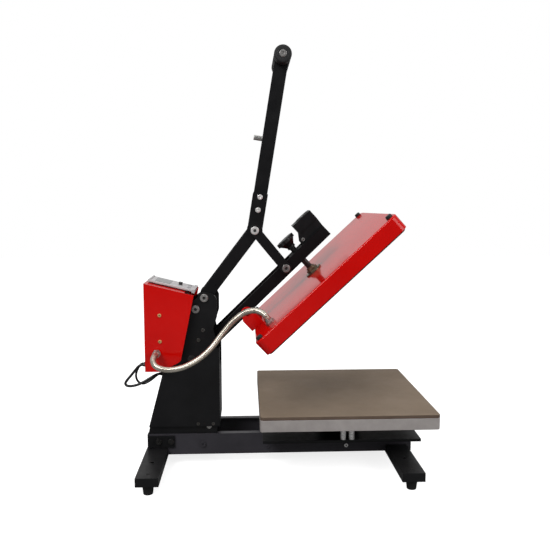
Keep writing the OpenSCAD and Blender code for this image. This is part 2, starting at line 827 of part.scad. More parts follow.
module handle_bars() {
    wall = 2;
    color("#19191b") handle_frame() both_sides() difference() {
        union() {
            translate([34, bar_y[0], -bar_h / 2]) cube([handle_len - 34, 12, bar_h]);
            bar_across([handle_len, 0], bar_h / 2, bar_y);
        }
        translate([34 + wall, bar_y[0] + wall, -bar_h / 2 + wall])
            cube([handle_len - 34 - 16 - wall, 12 - 2 * wall, bar_h - 2 * wall]);
        bar_across([handle_len, 0], 12, [20, 50]);
        for (s = [46, 75]) bar_across([s, 0], 3.5, [20, 50]);
    }
}

module grip_tube() {
    color("#8d8f92") handle_frame() {
        difference() {
            bar_across([handle_len, 0], 12, [-grip_w / 2, grip_w / 2]);
            bar_across([handle_len, 0], 9.5, [-grip_w / 2 + 4, grip_w / 2 - 4]);
        }
        both_sides() bolt_head_across([handle_len, 0], 8, grip_w / 2, 3);
    }
}

module grip_sleeve() {
    color("#151515") handle_frame() {
        foam_length([-bar_y[0] + 0.1, bar_y[0] - 0.1]);
        both_sides() foam_length([bar_y[1] + 0.1, grip_w / 2]);
    }
}

module foam_length(y) {
    difference() {
        bar_across([handle_len, 0], grip_r, y);
        bar_across([handle_len, 0], 12, [y[0] - 1, y[1] + 1]);
    }
}

module keeper_crossbar() {
    color("#1e1e20") handle_frame() difference() {
        translate([keeper_s - 13, -bar_y[0], 8.8]) cube([26, 2 * bar_y[0], 5.8]);
        translate([keeper_s, 0, 0]) cylinder(r = 5.7, h = 20);
    }
}

module keeper_disc() {
    color("#77787a") handle_frame() translate([keeper_s, 0, 0.6]) {
        cylinder(r = 15.5, h = 8.2);
        cylinder(r = 5.7, h = 34);
    }
}

module link_plates() {
    toggle = lifted(TOGGLE_CLOSED);
    color("#1c1c1e") both_sides() difference() {
        slab(link_y) round_bar_2d(KNEE, toggle, 22, 13, 13);
        bar_across(KNEE, pin_r + RUN, [40, 60]);
        bar_across(toggle, pin_r, [40, 60]);
    }
}

module link_bolts() {
    toggle = lifted(TOGGLE_CLOSED);
    color("#a7a8a8") both_sides() {
        bar_across(toggle, 11, [arm_y[1] + 0.5, link_y[0]]);
        bar_across(toggle, pin_r, [link_y[0] - EPS, link_y[1]]);
        bolt_head_across(toggle, head_r, link_y[1], 5);
    }
}

// ---------- gas spring ----------

gas_head = lifted(GAS_HEAD_CLOSED);
gas_lean = atan2(gas_head[0] - GAS_FOOT[0], gas_head[1] - GAS_FOOT[1]);
gas_len = norm(gas_head - GAS_FOOT);

// origin on the lower eye, z along the gas spring
module gas_frame() {
    translate([GAS_FOOT[0], 0, GAS_FOOT[1]]) rotate([0, gas_lean, 0]) children();
}

module gas_cylinder() {
    color("#1b1c1f") gas_frame() difference() {
        union() {
            bar_across([0, 0], 9, [-7, 7]);
            translate([0, 0, 6]) cylinder(r = 6, h = 10);
            translate([0, 0, 14]) cylinder(r = 11, h = 86);
        }
        bar_across([0, 0], 5 + RUN, [-8, 8]);
        translate([0, 0, 17]) cylinder(r = 9.5, h = 76);
        translate([0, 0, 90]) cylinder(r = 5 + RUN, h = 20);
    }
}

module gas_rod() {
    color("#c6c8ca") gas_frame() {
        translate([0, 0, 86]) cylinder(r = 9.4, h = 6.5);
        translate([0, 0, 86]) cylinder(r = 5, h = gas_len - 86 - 4);
        translate([0, 0, gas_len]) rotate([90, 0, 0]) cylinder(r = 9, h = 12, center = true);
    }
}

// ---------- cords ----------

module heater_hose() {
    color("#b6b2a8") swept_tube(HOSE, HOSE_R, 10);
}

module power_lead() {
    color("#141414") swept_tube(POWER_LEAD, POWER_R, 8);
}

module signal_lead() {
    color("#141414") swept_tube(SIGNAL_LEAD, SIGNAL_R, 8);
}

base_rails();
foot_beams();
rubber_feet();
base_bolts();
drawer_outer_rails();
column_plates();
column_cross_bolts();
column_foot_brackets();
column_shroud();
cover_screws();
arm_shaft();
handle_shaft();
control_box_shell();
control_box_back_plate();
panel_gasket();
control_panel();
display_window();
circuit_board();
hose_box_fitting();
lead_glands();
start_button();
up_key();
down_key();
power_switch();
slide_plate();
drawer_inner_rails();
platen_pedestal();
platen_posts();
lower_platen();
silicone_pad();
arm_bars();
arm_hub();
arm_bushes();
arm_cross_shafts();
screw_nut_block();
magnet_bracket();
electromagnet();
heating_plate();
insulation_blanket();
platen_cover();
corner_screws();
swivel_socket();
guide_bracket();
hose_platen_fitting();
pressure_knob();
pressure_screw();
lever_plates();
lever_bolts();
handle_bars();
grip_tube();
grip_sleeve();
keeper_crossbar();
keeper_disc();
link_plates();
link_bolts();
gas_cylinder();
gas_rod();
heater_hose();
power_lead();
signal_lead();
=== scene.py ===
"""Clamshell heat press: looks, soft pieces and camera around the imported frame."""
import json
import math

import bmesh
import bpy
from mathutils import Matrix, Vector


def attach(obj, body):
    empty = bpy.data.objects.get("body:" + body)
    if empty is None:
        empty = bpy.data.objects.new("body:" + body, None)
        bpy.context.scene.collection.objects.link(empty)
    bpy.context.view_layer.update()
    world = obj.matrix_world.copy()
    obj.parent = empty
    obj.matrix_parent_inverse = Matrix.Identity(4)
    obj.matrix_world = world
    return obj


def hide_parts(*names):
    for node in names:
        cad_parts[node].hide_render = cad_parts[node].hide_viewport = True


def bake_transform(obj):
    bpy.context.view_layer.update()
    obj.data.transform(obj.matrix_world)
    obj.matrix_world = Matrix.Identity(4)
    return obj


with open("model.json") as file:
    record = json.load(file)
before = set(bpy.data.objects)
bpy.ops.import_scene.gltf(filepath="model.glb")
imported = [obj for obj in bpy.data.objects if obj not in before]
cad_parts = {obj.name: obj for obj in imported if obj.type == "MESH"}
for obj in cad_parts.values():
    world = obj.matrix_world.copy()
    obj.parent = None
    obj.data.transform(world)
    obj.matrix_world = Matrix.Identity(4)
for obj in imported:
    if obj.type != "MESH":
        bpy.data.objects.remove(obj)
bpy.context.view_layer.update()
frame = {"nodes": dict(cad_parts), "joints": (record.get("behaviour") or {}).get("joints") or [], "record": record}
NODES = frame["nodes"]
BODY_OF = {n: b for b, ns in frame["record"]["behaviour"]["bodies"].items() for n in ns}
JOINTS = {j["name"]: j for j in frame["joints"]}

MM = 0.001
OPEN = math.radians(43.0)
ARM_PIVOT = Vector(JOINTS["arm_hinge"]["pos_m"])
KNEE = Vector(JOINTS["link_hinge"]["pos_m"])
# takes a point of the closed head, as it lies on the lower platen, to the open head
RAISED = (
    Matrix.Translation(ARM_PIVOT) @ Matrix.Rotation(-OPEN, 4, "Y") @ Matrix.Translation(-ARM_PIVOT)
)


def link(obj):
    bpy.context.scene.collection.objects.link(obj)
    return obj


# ---------- camera ----------

CAMERA_PLACE = (-0.0891, -1.4551, 0.5874)
CAMERA_DIP = math.radians(6.11)
CAMERA_TURN = math.radians(-2.62)
LENS_MM = 41.12
SENSOR_MM = 36.0


def add_camera():
    data = bpy.data.cameras.new("camera")
    data.sensor_width = SENSOR_MM
    data.lens = LENS_MM
    data.clip_start = 20 * MM
    cam = link(bpy.data.objects.new("camera", data))
    cam.location = CAMERA_PLACE
    cam.rotation_euler = (math.pi / 2 - CAMERA_DIP, 0.0, CAMERA_TURN)
    bpy.context.scene.camera = cam


add_camera()


# ---------- materials ----------

def new_material(name):
    mat = bpy.data.materials.new(name)
    mat.use_nodes = True
    return mat, mat.node_tree.nodes, mat.node_tree.links, mat.node_tree.nodes["Principled BSDF"]


def noise(nodes, links, coords, scale, detail=3.0, rough=0.55, distortion=0.0):
    tex = nodes.new("ShaderNodeTexNoise")
    tex.inputs["Scale"].default_value = scale
    tex.inputs["Detail"].default_value = detail
    tex.inputs["Roughness"].default_value = rough
    tex.inputs["Distortion"].default_value = distortion
    links.new(coords, tex.inputs["Vector"])
    return tex.outputs["Fac"]


def spread(nodes, links, value, low_in, high_in, low_out, high_out):
    node = nodes.new("ShaderNodeMapRange")
    node.inputs["From Min"].default_value = low_in
    node.inputs["From Max"].default_value = high_in
    node.inputs["To Min"].default_value = low_out
    node.inputs["To Max"].default_value = high_out
    links.new(value, node.inputs["Value"])
    return node.outputs["Result"]


def mix(nodes, links, factor, a, b):
    node = nodes.new("ShaderNodeMix")
    node.data_type = "RGBA"
    links.new(factor, node.inputs["Factor"])
    for value, socket in ((a, node.inputs["A"]), (b, node.inputs["B"])):
        if hasattr(value, "node"):
            links.new(value, socket)
        else:
            socket.default_value = (*value, 1.0)
    return node.outputs["Result"]


COAT_ROUGH = 0.12
# a pale grey mixed into faces that look up, which makes them lighter towards the top
UP_FACE_GREY = (0.32, 0.30, 0.28)


def surface(name, color, second, rough, metal=0.0, patch=18.0, grain=900.0, height=0.00004,
            rough_spread=0.08, coat=0.0, specular=0.5, stretch=(1, 1, 1), up_face_share=0.0, speck=None):
    """Two colours in soft patches, fine grain in the normal, and patchy roughness.

    patch and grain are noise scales, height is the grain's depth in metres, a share of a pale grey
    lightens faces that look up, and speck holds the scale, threshold, strength and colour of small dots.
    """
    mat, nodes, links, shader = new_material(name)
    coords = nodes.new("ShaderNodeTexCoord").outputs["Object"]
    mapping = nodes.new("ShaderNodeMapping")
    mapping.inputs["Scale"].default_value = stretch
    links.new(coords, mapping.inputs["Vector"])
    where = mapping.outputs["Vector"]
    blotch = spread(nodes, links, noise(nodes, links, where, patch, 5.0, 0.6), 0.35, 0.68, 0.0, 1.0)
    tint = mix(nodes, links, blotch, color, second)
    if speck:
        speck_scale, threshold, strength, speck_color = speck
        dots = noise(nodes, links, coords, speck_scale, 2.0, 0.5)
        dotted = spread(nodes, links, dots, threshold, threshold + 0.06, 0.0, strength)
        tint = mix(nodes, links, dotted, tint, speck_color)
    # faces that look up are mixed towards a pale grey and come out lighter
    if up_face_share:
        up = nodes.new("ShaderNodeSeparateXYZ")
        links.new(nodes.new("ShaderNodeNewGeometry").outputs["Normal"], up.inputs["Vector"])
        facing = spread(nodes, links, up.outputs["Z"], 0.55, 1.0, 0.0, up_face_share)
        tint = mix(nodes, links, facing, tint, UP_FACE_GREY)
    links.new(tint, shader.inputs["Base Color"])
    smear = noise(nodes, links, where, patch * 2.7, 6.0, 0.65, 0.6)
    links.new(spread(nodes, links, smear, 0.3, 0.7, rough - rough_spread, rough + rough_spread),
              shader.inputs["Roughness"])
    shader.inputs["Metallic"].default_value = metal
    shader.inputs["Specular IOR Level"].default_value = specular
    shader.inputs["Coat Weight"].default_value = coat
    shader.inputs["Coat Roughness"].default_value = COAT_ROUGH
    bump = nodes.new("ShaderNodeBump")
    bump.inputs["Strength"].default_value = 1.0
    bump.inputs["Distance"].default_value = height
    links.new(noise(nodes, links, where, grain, 3.0, 0.6), bump.inputs["Height"])
    links.new(bump.outputs["Normal"], shader.inputs["Normal"])
    return mat


MATS = {
    "frame_black": surface("powder_coat_black", (0.0048, 0.0048, 0.0054), (0.0078, 0.0078, 0.0086), 0.38,
                           grain=1500.0, height=0.00003, specular=0.22, up_face_share=0.012),
    # the rails' black powder coat, made lighter and bluish: painted bluish light
    "rail_black": surface("powder_coat_rail", (0.0330, 0.0310, 0.0370), (0.0430, 0.0405, 0.0480), 0.36,
                          grain=1500.0, height=0.00003, specular=0.25, up_face_share=0.012),
    "handle_black": surface("gloss_coat_black", (0.0052, 0.0052, 0.0058), (0.0082, 0.0082, 0.0090), 0.34,
                            grain=1100.0, height=0.00002, specular=0.16),
    "arm_black": surface("matt_coat_black", (0.0045, 0.0045, 0.0050), (0.0070, 0.0070, 0.0078), 0.62,
                         grain=1100.0, height=0.00002, specular=0.08),
    "cover_red": surface("gloss_enamel_red", (0.52, 0.0012, 0.0004), (0.58, 0.0022, 0.0008), 0.13,
                         patch=9.0, grain=60.0, height=0.000006, rough_spread=0.03, specular=0.25),
    "foot_rubber": surface("rubber_black", (0.007, 0.007, 0.007), (0.012, 0.012, 0.012), 0.7,
                           grain=2600.0, height=0.00006, specular=0.3),
    "zinc": surface("zinc_plate", (0.42, 0.42, 0.41), (0.56, 0.55, 0.52), 0.34, metal=1.0,
                    patch=160.0, grain=1800.0, height=0.00002, rough_spread=0.12),
    "zinc_yellow": surface("zinc_plate_yellow", (0.66, 0.36, 0.12), (0.78, 0.50, 0.22), 0.30, metal=0.5,
                           patch=60.0, grain=1800.0, height=0.00002),
    "bolt_mid": surface("bolt_zinc_worn", (0.26, 0.25, 0.245), (0.40, 0.39, 0.38), 0.30, metal=0.8,
                        patch=60.0, grain=1800.0, height=0.00001, rough_spread=0.10),
    # the floor of a hexagon socket: painted shade of the recess, and grime
    "socket_dark": surface("bolt_socket", (0.012, 0.012, 0.012), (0.022, 0.021, 0.020), 0.5,
                           patch=240.0, grain=1800.0, height=0.00002),
    "bolt_dark": surface("bolt_burnished", (0.035, 0.034, 0.033), (0.070, 0.068, 0.066), 0.34, metal=0.9,
                         patch=200.0, grain=1800.0, height=0.00002),
    "bolt_dull": surface("bolt_oiled", (0.060, 0.057, 0.053), (0.105, 0.100, 0.094), 0.36, metal=0.8,
                         patch=120.0, grain=1800.0, height=0.00001),
    "bright_steel": surface("ground_steel", (0.80, 0.79, 0.78), (0.88, 0.87, 0.86), 0.30, metal=0.7,
                            patch=60.0, grain=2400.0, height=0.00001, stretch=(1, 1, 6)),
    "slide_zinc": surface("rolled_zinc", (0.46, 0.47, 0.48), (0.58, 0.59, 0.60), 0.32, metal=1.0,
                          patch=80.0, grain=1600.0, height=0.00002, stretch=(0.1, 1, 1)),
    "tray_aluminium": surface("cast_aluminium", (0.35, 0.320, 0.308), (0.41, 0.378, 0.365), 0.45,
                              metal=0.3, patch=40.0, grain=1300.0, height=0.00004),
    "pad_silicone": surface("silicone_sponge", (0.190, 0.142, 0.100), (0.225, 0.170, 0.122), 0.66,
                            patch=7.0, grain=1900.0, height=0.00008, specular=0.22,
                            speck=(700.0, 0.66, 0.35, (0.10, 0.075, 0.05))),
    # a darker copy of the sponge for the pad's upright faces: painted shade
    "pad_edge": surface("silicone_cut_edge", (0.095, 0.066, 0.050), (0.125, 0.088, 0.066), 0.75,
                        patch=20.0, grain=1900.0, height=0.00008, specular=0.2),
    "heat_face": surface("coated_plate", (0.014, 0.013, 0.012), (0.024, 0.022, 0.021), 0.50,
                         metal=0.1, patch=10.0, grain=900.0, height=0.00002, specular=0.18),
    "insulation": surface("ceramic_fibre", (0.62, 0.58, 0.46), (0.74, 0.70, 0.60), 0.95,
                          patch=90.0, grain=1400.0, height=0.0003, specular=0.1),
    "brass": surface("brass_turned", (0.155, 0.145, 0.100), (0.27, 0.25, 0.175), 0.34, metal=1.0,
                     patch=120.0, grain=1600.0, height=0.00002),
    "bronze": surface("sintered_bronze", (0.36, 0.24, 0.10), (0.45, 0.31, 0.15), 0.45, metal=1.0,
                      patch=160.0, grain=2600.0, height=0.00005),
    "magnet_iron": surface("machined_iron", (0.034, 0.033, 0.034), (0.050, 0.049, 0.051), 0.32,
                           metal=0.4, patch=60.0, grain=1400.0, height=0.00002),
    "panel_grey": surface("moulded_grey", (0.42, 0.405, 0.41), (0.48, 0.465, 0.47), 0.40,
                          patch=40.0, grain=2600.0, height=0.00003),
    "display": surface("display_glass", (0.012, 0.018, 0.022), (0.016, 0.023, 0.028), 0.08,
                       patch=20.0, grain=60.0, height=0.000005, rough_spread=0.03, coat=0.6),
    "button_black": surface("button_moulding", (0.012, 0.012, 0.013), (0.018, 0.018, 0.019), 0.30,
                            patch=90.0, grain=1900.0, height=0.00001, coat=0.3),
    "key_grey": surface("key_moulding", (0.34, 0.34, 0.35), (0.38, 0.38, 0.39), 0.42,
                        patch=90.0, grain=1900.0, height=0.00002),
    "grip_foam": surface("nitrile_foam", (0.008, 0.008, 0.0085), (0.014, 0.014, 0.015), 0.62,
                         patch=50.0, grain=2300.0, height=0.00012, specular=0.3),
    "board_green": surface("lacquered_board", (0.020, 0.11, 0.045), (0.03, 0.14, 0.06), 0.3,
                           patch=120.0, grain=900.0, height=0.00003),
    "hose_steel": surface("hose_stainless", (0.52, 0.475, 0.40), (0.64, 0.59, 0.51), 0.24, metal=0.92,
                          patch=40.0, grain=900.0, height=0.00001, rough_spread=0.04),
    "lead_pvc": surface("pvc_black", (0.007, 0.007, 0.0075), (0.011, 0.011, 0.012), 0.42,
                        patch=120.0, grain=1500.0, height=0.00002, specular=0.35),
    "screw_black": surface("blackened", (0.008, 0.008, 0.008), (0.013, 0.013, 0.013), 0.40,
                           patch=150.0, grain=2000.0, height=0.00002, specular=0.35),
}


def dress(obj, key):
    obj.data.materials.clear()
    obj.data.materials.append(MATS[key])


# ---------- CAD nodes: a finish on each, and copies with rounded edges that stand for most ----------

def smooth(mesh, sharp_angle=math.pi):
    for face in mesh.polygons:
        face.use_smooth = True
    if sharp_angle < math.pi:
        mesh.set_sharp_from_angle(angle=sharp_angle)


def finish_piece(obj, node, key):
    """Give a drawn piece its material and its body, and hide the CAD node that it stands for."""
    dress(obj, key)
    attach(obj, BODY_OF[node])
    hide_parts(node)


SLOT_OF = {s["node"]: s["material_slot"] for s in frame["record"]["subparts"]}
# nodes whose finish differs from their material slot
LOOK = {
    # the rails take the lighter, bluish black, which is painted bluish light
    "base_rails": "rail_black",
    "base_bolts": "bolt_dark",
    "arm_bars": "arm_black",
    "screw_nut_block": "arm_black",
    "handle_bars": "handle_black",
    "lever_plates": "handle_black",
    "link_plates": "handle_black",
    "arm_shaft": "bolt_dark",
    "arm_cross_shafts": "bolt_dark",
    "pressure_screw": "bolt_dark",
    "handle_shaft": "bolt_mid",
    "column_cross_bolts": "bolt_mid",
    "link_bolts": "bolt_mid",
    "lever_bolts": "bright_steel",
}
ROUND_STEPS = 2
SHARP_ANGLE = math.radians(38.0)   # edges sharper than this are rounded
FLAT_ANGLE = math.radians(0.6)     # edges flatter than this are dissolved
SAME_POINT = 0.002 * MM            # corners closer than this are joined


def edge_softened(node, width, look=None, tag="rounded", within=None):
    """A copy of a CAD node, or of its faces within a region, with a small round on sharp edges."""
    mesh = NODES[node].data.copy()
    mesh.name = f"{node}_{tag}"
    bm = bmesh.new()
    bm.from_mesh(mesh)
    bmesh.ops.remove_doubles(bm, verts=bm.verts, dist=SAME_POINT)
    bmesh.ops.dissolve_limit(bm, angle_limit=FLAT_ANGLE, verts=bm.verts, edges=bm.edges)
    if within:
        outside = [f for f in bm.faces if not within(f.calc_center_median())]
        bmesh.ops.delete(bm, geom=outside, context="FACES")
    bm.normal_update()
    bm.to_mesh(mesh)
    bm.free()
    if "custom_normal" in mesh.attributes:
        mesh.attributes.remove(mesh.attributes["custom_normal"])
    smooth(mesh, SHARP_ANGLE)
    obj = link(bpy.data.objects.new(f"{node}_{tag}", mesh))
    mod = obj.modifiers.new("round", "BEVEL")
    mod.width = width
    mod.segments = ROUND_STEPS
    mod.limit_method = "ANGLE"
    mod.angle_limit = SHARP_ANGLE
    mod.harden_normals = True
    mod.use_clamp_overlap = True
    finish_piece(obj, node, look or LOOK.get(node, SLOT_OF[node]))
    return obj


# the lever's two upper bolts stand above this height, and their sockets get no painted shade
UNSHADED_SOCKETS_Z = KNEE.z + 30 * MM


def paint_socket_shade(obj):
    """The six-sided floor of each hexagon socket gets a dark colour: painted shade of its recess, and grime."""
    obj.data.materials.append(MATS["socket_dark"])
    for face in obj.data.polygons:
        if len(face.vertices) == 6 and face.center.z < UNSHADED_SOCKETS_Z:
            face.material_index = 1


# width of the round on each node's edges, in millimetres
ROUNDS = {
    "base_rails": 0.8, "foot_beams": 1.2, "column_foot_brackets": 0.8, "column_shroud": 0.35,
    "control_box_shell": 0.45, "slide_plate": 0.6, "platen_pedestal": 1.0, "column_plates": 0.9,
    "arm_bars": 0.6, "screw_nut_block": 1.0, "lever_plates": 0.9,
    "handle_bars": 0.6, "keeper_crossbar": 0.8, "link_plates": 0.8, "control_panel": 0.9,
    "electromagnet": 0.6, "pressure_knob": 0.9, "swivel_socket": 0.5, "start_button": 0.9,
    "up_key": 0.5, "down_key": 0.5, "keeper_disc": 0.6, "guide_bracket": 0.5, "power_switch": 0.5,
    "rubber_feet": 0.9, "corner_screws": 0.9,
    "arm_shaft": 0.35, "handle_shaft": 0.35, "column_cross_bolts": 0.35, "lever_bolts": 0.35,
    "link_bolts": 0.35, "arm_cross_shafts": 0.35, "hose_box_fitting": 0.4,
    "hose_platen_fitting": 0.4, "lead_glands": 0.4,
}
SOCKET_BOLTS = {"arm_shaft", "handle_shaft", "column_cross_bolts", "lever_bolts", "link_bolts",
                "arm_cross_shafts"}

# The bolts of the feet and the column's rear bolts lie beyond FOOT_X, at either end. Between the
# ends, all bolts behind PAINTED_X are painted over and the drawer's front screws are bright.
FOOT_X = 200 * MM
PAINTED_X = 100 * MM
# the control box's yellow screws stand further out than this, all other cover screws less far
SHROUD_HEADS_Y = 68 * MM
BRACKET_SIDE_Y = 24.1 * MM
BRACKET_HEADS_Z = 274.5 * MM
GRIP_END_Y = 72.05 * MM


def on_magnet_bolt(c):
    """On the heads at the side of the magnet bracket, below its cup as the head lies closed."""
    return abs(c.y) > BRACKET_SIDE_Y and (RAISED.inverted() @ c).z < BRACKET_HEADS_Z


# nodes drawn as several pieces: round in millimetres, finish, tag, region, whether it has sockets
SPLITS = (
    ("base_bolts", 0.3, "bolt_dark", "dull", lambda c: abs(c.x) > FOOT_X, True),
    # bolts painted over take the rails' lighter, bluish black, which is painted bluish light
    ("base_bolts", 0.3, "rail_black", "painted", lambda c: -FOOT_X < c.x < PAINTED_X, False),
    ("base_bolts", 0.3, "bright_steel", "bright", lambda c: PAINTED_X < c.x < FOOT_X, True),
    ("cover_screws", 0.2, "bolt_dull", "dull", lambda c: abs(c.y) < SHROUD_HEADS_Y, True),
    ("cover_screws", 0.2, "zinc_yellow", "yellow", lambda c: abs(c.y) > SHROUD_HEADS_Y, True),
    ("magnet_bracket", 0.8, None, "rounded", lambda c: not on_magnet_bolt(c), False),
    ("magnet_bracket", 0.3, "bolt_mid", "bolts", on_magnet_bolt, True),
    ("grip_tube", 0.4, "button_black", "tube", lambda c: abs(c.y) < GRIP_END_Y, False),
    ("grip_tube", 0.4, "bolt_mid", "heads", lambda c: abs(c.y) > GRIP_END_Y, False),
)

for node_name, obj in NODES.items():
    dress(obj, LOOK.get(node_name, SLOT_OF[node_name]))
for node_name, round_mm in ROUNDS.items():
    piece = edge_softened(node_name, round_mm * MM)
    if node_name in SOCKET_BOLTS:
        paint_socket_shade(piece)
for node_name, round_mm, finish, tag, region, has_sockets in SPLITS:
    piece = edge_softened(node_name, round_mm * MM, finish, tag, region)
    if has_sockets:
        paint_socket_shade(piece)


# ---------- square platen shells ----------

CORNER_STEPS = 8
SMALLEST_CORNER = 1.5 * MM


def square_ring(side, corner):
    """Points of a square with round corners, anticlockwise."""
    half = side / 2 - corner
    points = []
    for quarter, (sx, sy) in enumerate(((1, 1), (-1, 1), (-1, -1), (1, -1))):
        for step in range(CORNER_STEPS + 1):
            a = math.radians(90 * quarter + 90 * step / CORNER_STEPS)
            points.append((sx * half + corner * math.cos(a), sy * half + corner * math.sin(a)))
    return points


def square_shell(name, node, side, corner, profile, center_x, placed, key):
    """Closed shell through rounded squares, one at each (inset, height) of the profile, in mm."""
    bm = bmesh.new()
    rings = []
    for inset_mm, height_mm in profile:
        inset = inset_mm * MM
        ring = square_ring(side - 2 * inset, max(corner - inset, SMALLEST_CORNER))
        rings.append([bm.verts.new((center_x + x, y, height_mm * MM)) for x, y in ring])
    count = len(rings[0])
    for a, b in zip(rings, rings[1:]):
        for k in range(count):
            bm.faces.new((a[k], a[(k + 1) % count], b[(k + 1) % count], b[k]))
    bm.faces.new(list(reversed(rings[0])))
    bm.faces.new(rings[-1])
    bmesh.ops.recalc_face_normals(bm, faces=bm.faces)
    bmesh.ops.transform(bm, matrix=placed, verts=bm.verts)
    mesh = bpy.data.meshes.new(name)
    bm.to_mesh(mesh)
    bm.free()
    smooth(mesh, math.radians(50))
    obj = link(bpy.data.objects.new(name, mesh))
    mod = obj.modifiers.new("weighted", "WEIGHTED_NORMAL")
    mod.keep_sharp = True
    finish_piece(obj, node, key)
    return obj


def rounded_edge(height, radius, steps, upward):
    """Quarter round of a profile in mm, from the side onto the top or from the bottom onto the side."""
    out = []
    for k in range(steps + 1):
        a = math.radians(90 * k / steps)
        if upward:
            out.append((radius * (1 - math.cos(a)), height - radius * (1 - math.sin(a))))
        else:
            out.append((radius * (1 - math.sin(a)), height + radius * (1 - math.cos(a))))
    return out


COVER_SIDE = 390 * MM
COVER_CORNER = 18 * MM
PLATEN_SIDE = 380 * MM
PLATEN_CORNER = 6 * MM
HEAT_CORNER = 12 * MM
PLATEN_X = 128 * MM
COVER_X = 127.9 * MM
# heights in millimetres above the ground, with the head closed
TRAY_LOW = 122.0
TRAY_TOP = 147.0
PAD_TOP = 155.0
HEAT_LOW = 157.0
HEAT_TOP = 171.0
COVER_LOW = 160.2
COVER_TOP = 196.2

cover_profile = [
    (4.2, COVER_TOP - 1.6), (3.0, COVER_TOP - 3.4), (1.6, COVER_LOW + 0.4),
    (1.2, COVER_LOW), (0.3, COVER_LOW + 0.3),
] + rounded_edge(COVER_TOP, 3.5, 6, True)
heat_profile = rounded_edge(HEAT_LOW, 2.2, 4, False) + [(0.0, HEAT_TOP - 1.0), (1.0, HEAT_TOP)]
tray_profile = [
    (7.2, TRAY_TOP - 8.2), (7.0, TRAY_LOW + 0.4), (6.4, TRAY_LOW), (0.9, TRAY_LOW),
    (0.0, TRAY_LOW + 0.8),
] + rounded_edge(TRAY_TOP, 1.0, 3, True)
pad_profile = rounded_edge(TRAY_TOP, 0.6, 2, False) + rounded_edge(PAD_TOP, 1.6, 4, True)

square_shell("platen_cover_drawn", "platen_cover", COVER_SIDE, COVER_CORNER, cover_profile,
             COVER_X, RAISED, "cover_red")
square_shell("heating_plate_coated", "heating_plate", PLATEN_SIDE, HEAT_CORNER, heat_profile,
             COVER_X, RAISED, "heat_face")
square_shell("lower_platen_cast", "lower_platen", PLATEN_SIDE, PLATEN_CORNER, tray_profile,
             PLATEN_X, Matrix.Identity(4), "tray_aluminium")
pad = square_shell("silicone_pad_moulded", "silicone_pad", PLATEN_SIDE, PLATEN_CORNER, pad_profile,
                   PLATEN_X, Matrix.Identity(4), "pad_silicone")
# the pad's upright faces take a darker copy of the sponge's colour: painted shade on its sides
pad.data.materials.append(MATS["pad_edge"])
for face in pad.data.polygons:
    if abs(face.normal.z) < 0.5:
        face.material_index = 1


# ---------- grip ----------

GRIP_SIDES = 56


def lathe_y(name, profile, center):
    """Solid of revolution about the Y axis through center; profile holds (radius, y)."""
    bm = bmesh.new()
    rings = []
    for radius, y in profile:
        rings.append([
            bm.verts.new((center[0] + radius * math.cos(2 * math.pi * k / GRIP_SIDES), y,
                          center[2] + radius * math.sin(2 * math.pi * k / GRIP_SIDES)))
            for k in range(GRIP_SIDES)
        ])
    for a, b in zip(rings, rings[1:] + rings[:1]):
        for k in range(GRIP_SIDES):
            bm.faces.new((a[k], b[k], b[(k + 1) % GRIP_SIDES], a[(k + 1) % GRIP_SIDES]))
    bmesh.ops.recalc_face_normals(bm, faces=bm.faces)
    mesh = bpy.data.meshes.new(name)
    bm.to_mesh(mesh)
    bm.free()
    smooth(mesh, math.radians(60))
    return link(bpy.data.objects.new(name, mesh))


HANDLE_LEAN = math.radians(80.8)
HANDLE_LENGTH = 384 * MM
GRIP = KNEE + HANDLE_LENGTH * Vector((math.cos(HANDLE_LEAN), 0.0, math.sin(HANDLE_LEAN)))
FOAM_R = 19.3 * MM
BORE_R = 12 * MM
FOAM_STEP = 1.2 * MM
FOAM_ROUND = 2.8 * MM
RIPPLE_PITCH = 4.8 * MM
RIPPLE_DEPTH = 0.24 * MM
# ends of the three sleeves along Y: between the handle's bars, and outside each bar
SLEEVES = {
    "middle": (-29.9 * MM, 29.9 * MM),
    "near": (-72 * MM, -42.1 * MM),
    "far": (42.1 * MM, 72 * MM),
}


def foam_profile(y0, y1):
    """Foam sleeve: round ends and a moulded ripple."""
    length = y1 - y0
    outer = []
    steps = int(length / FOAM_STEP)
    for k in range(steps + 1):
        t = k / steps
        inward = min(min(t, 1 - t) * length / FOAM_ROUND, 1.0)
        shrink = FOAM_ROUND * (1 - math.sqrt(max(0.0, 1 - (1 - inward) ** 2)))
        turn = 2 * math.pi * (y0 + t * length) / RIPPLE_PITCH
        ripple = RIPPLE_DEPTH / 2 * (1 - math.cos(turn))
        outer.append((FOAM_R - shrink - ripple, y0 + t * length))
    return [(BORE_R, y0), (BORE_R, y1)] + list(reversed(outer))


for tag, (y0, y1) in SLEEVES.items():
    sleeve = lathe_y("grip_sleeve_" + tag, foam_profile(y0, y1), GRIP)
    finish_piece(sleeve, "grip_sleeve", "grip_foam")


# ---------- cords ----------

CURVE_STEPS = 24


def smooth_route(points, step):
    """Points every step metres along a smooth curve through the given points, and its length."""
    pts = [Vector(p) for p in points]
    ends = [2 * pts[0] - pts[1]] + pts + [2 * pts[-1] - pts[-2]]
    dense = []
    for i in range(1, len(ends) - 2):
        p0, p1, p2, p3 = ends[i - 1:i + 3]
        for k in range(CURVE_STEPS):
            t = k / CURVE_STEPS
            dense.append(0.5 * (2 * p1 + (p2 - p0) * t + (2 * p0 - 5 * p1 + 4 * p2 - p3) * t * t
                                + (3 * p1 - p0 - 3 * p2 + p3) * t ** 3))
    dense.append(pts[-1])
    length = sum((b - a).length for a, b in zip(dense, dense[1:]))
    count = max(2, round(length / step))
    out, travelled, target = [dense[0]], 0.0, length / count
    for a, b in zip(dense, dense[1:]):
        span = (b - a).length
        while travelled + span >= target - 1e-9 and len(out) < count:
            out.append(a.lerp(b, (target - travelled) / span if span else 0.0))
            target += length / count
        travelled += span
    out.append(dense[-1])
    return out, length


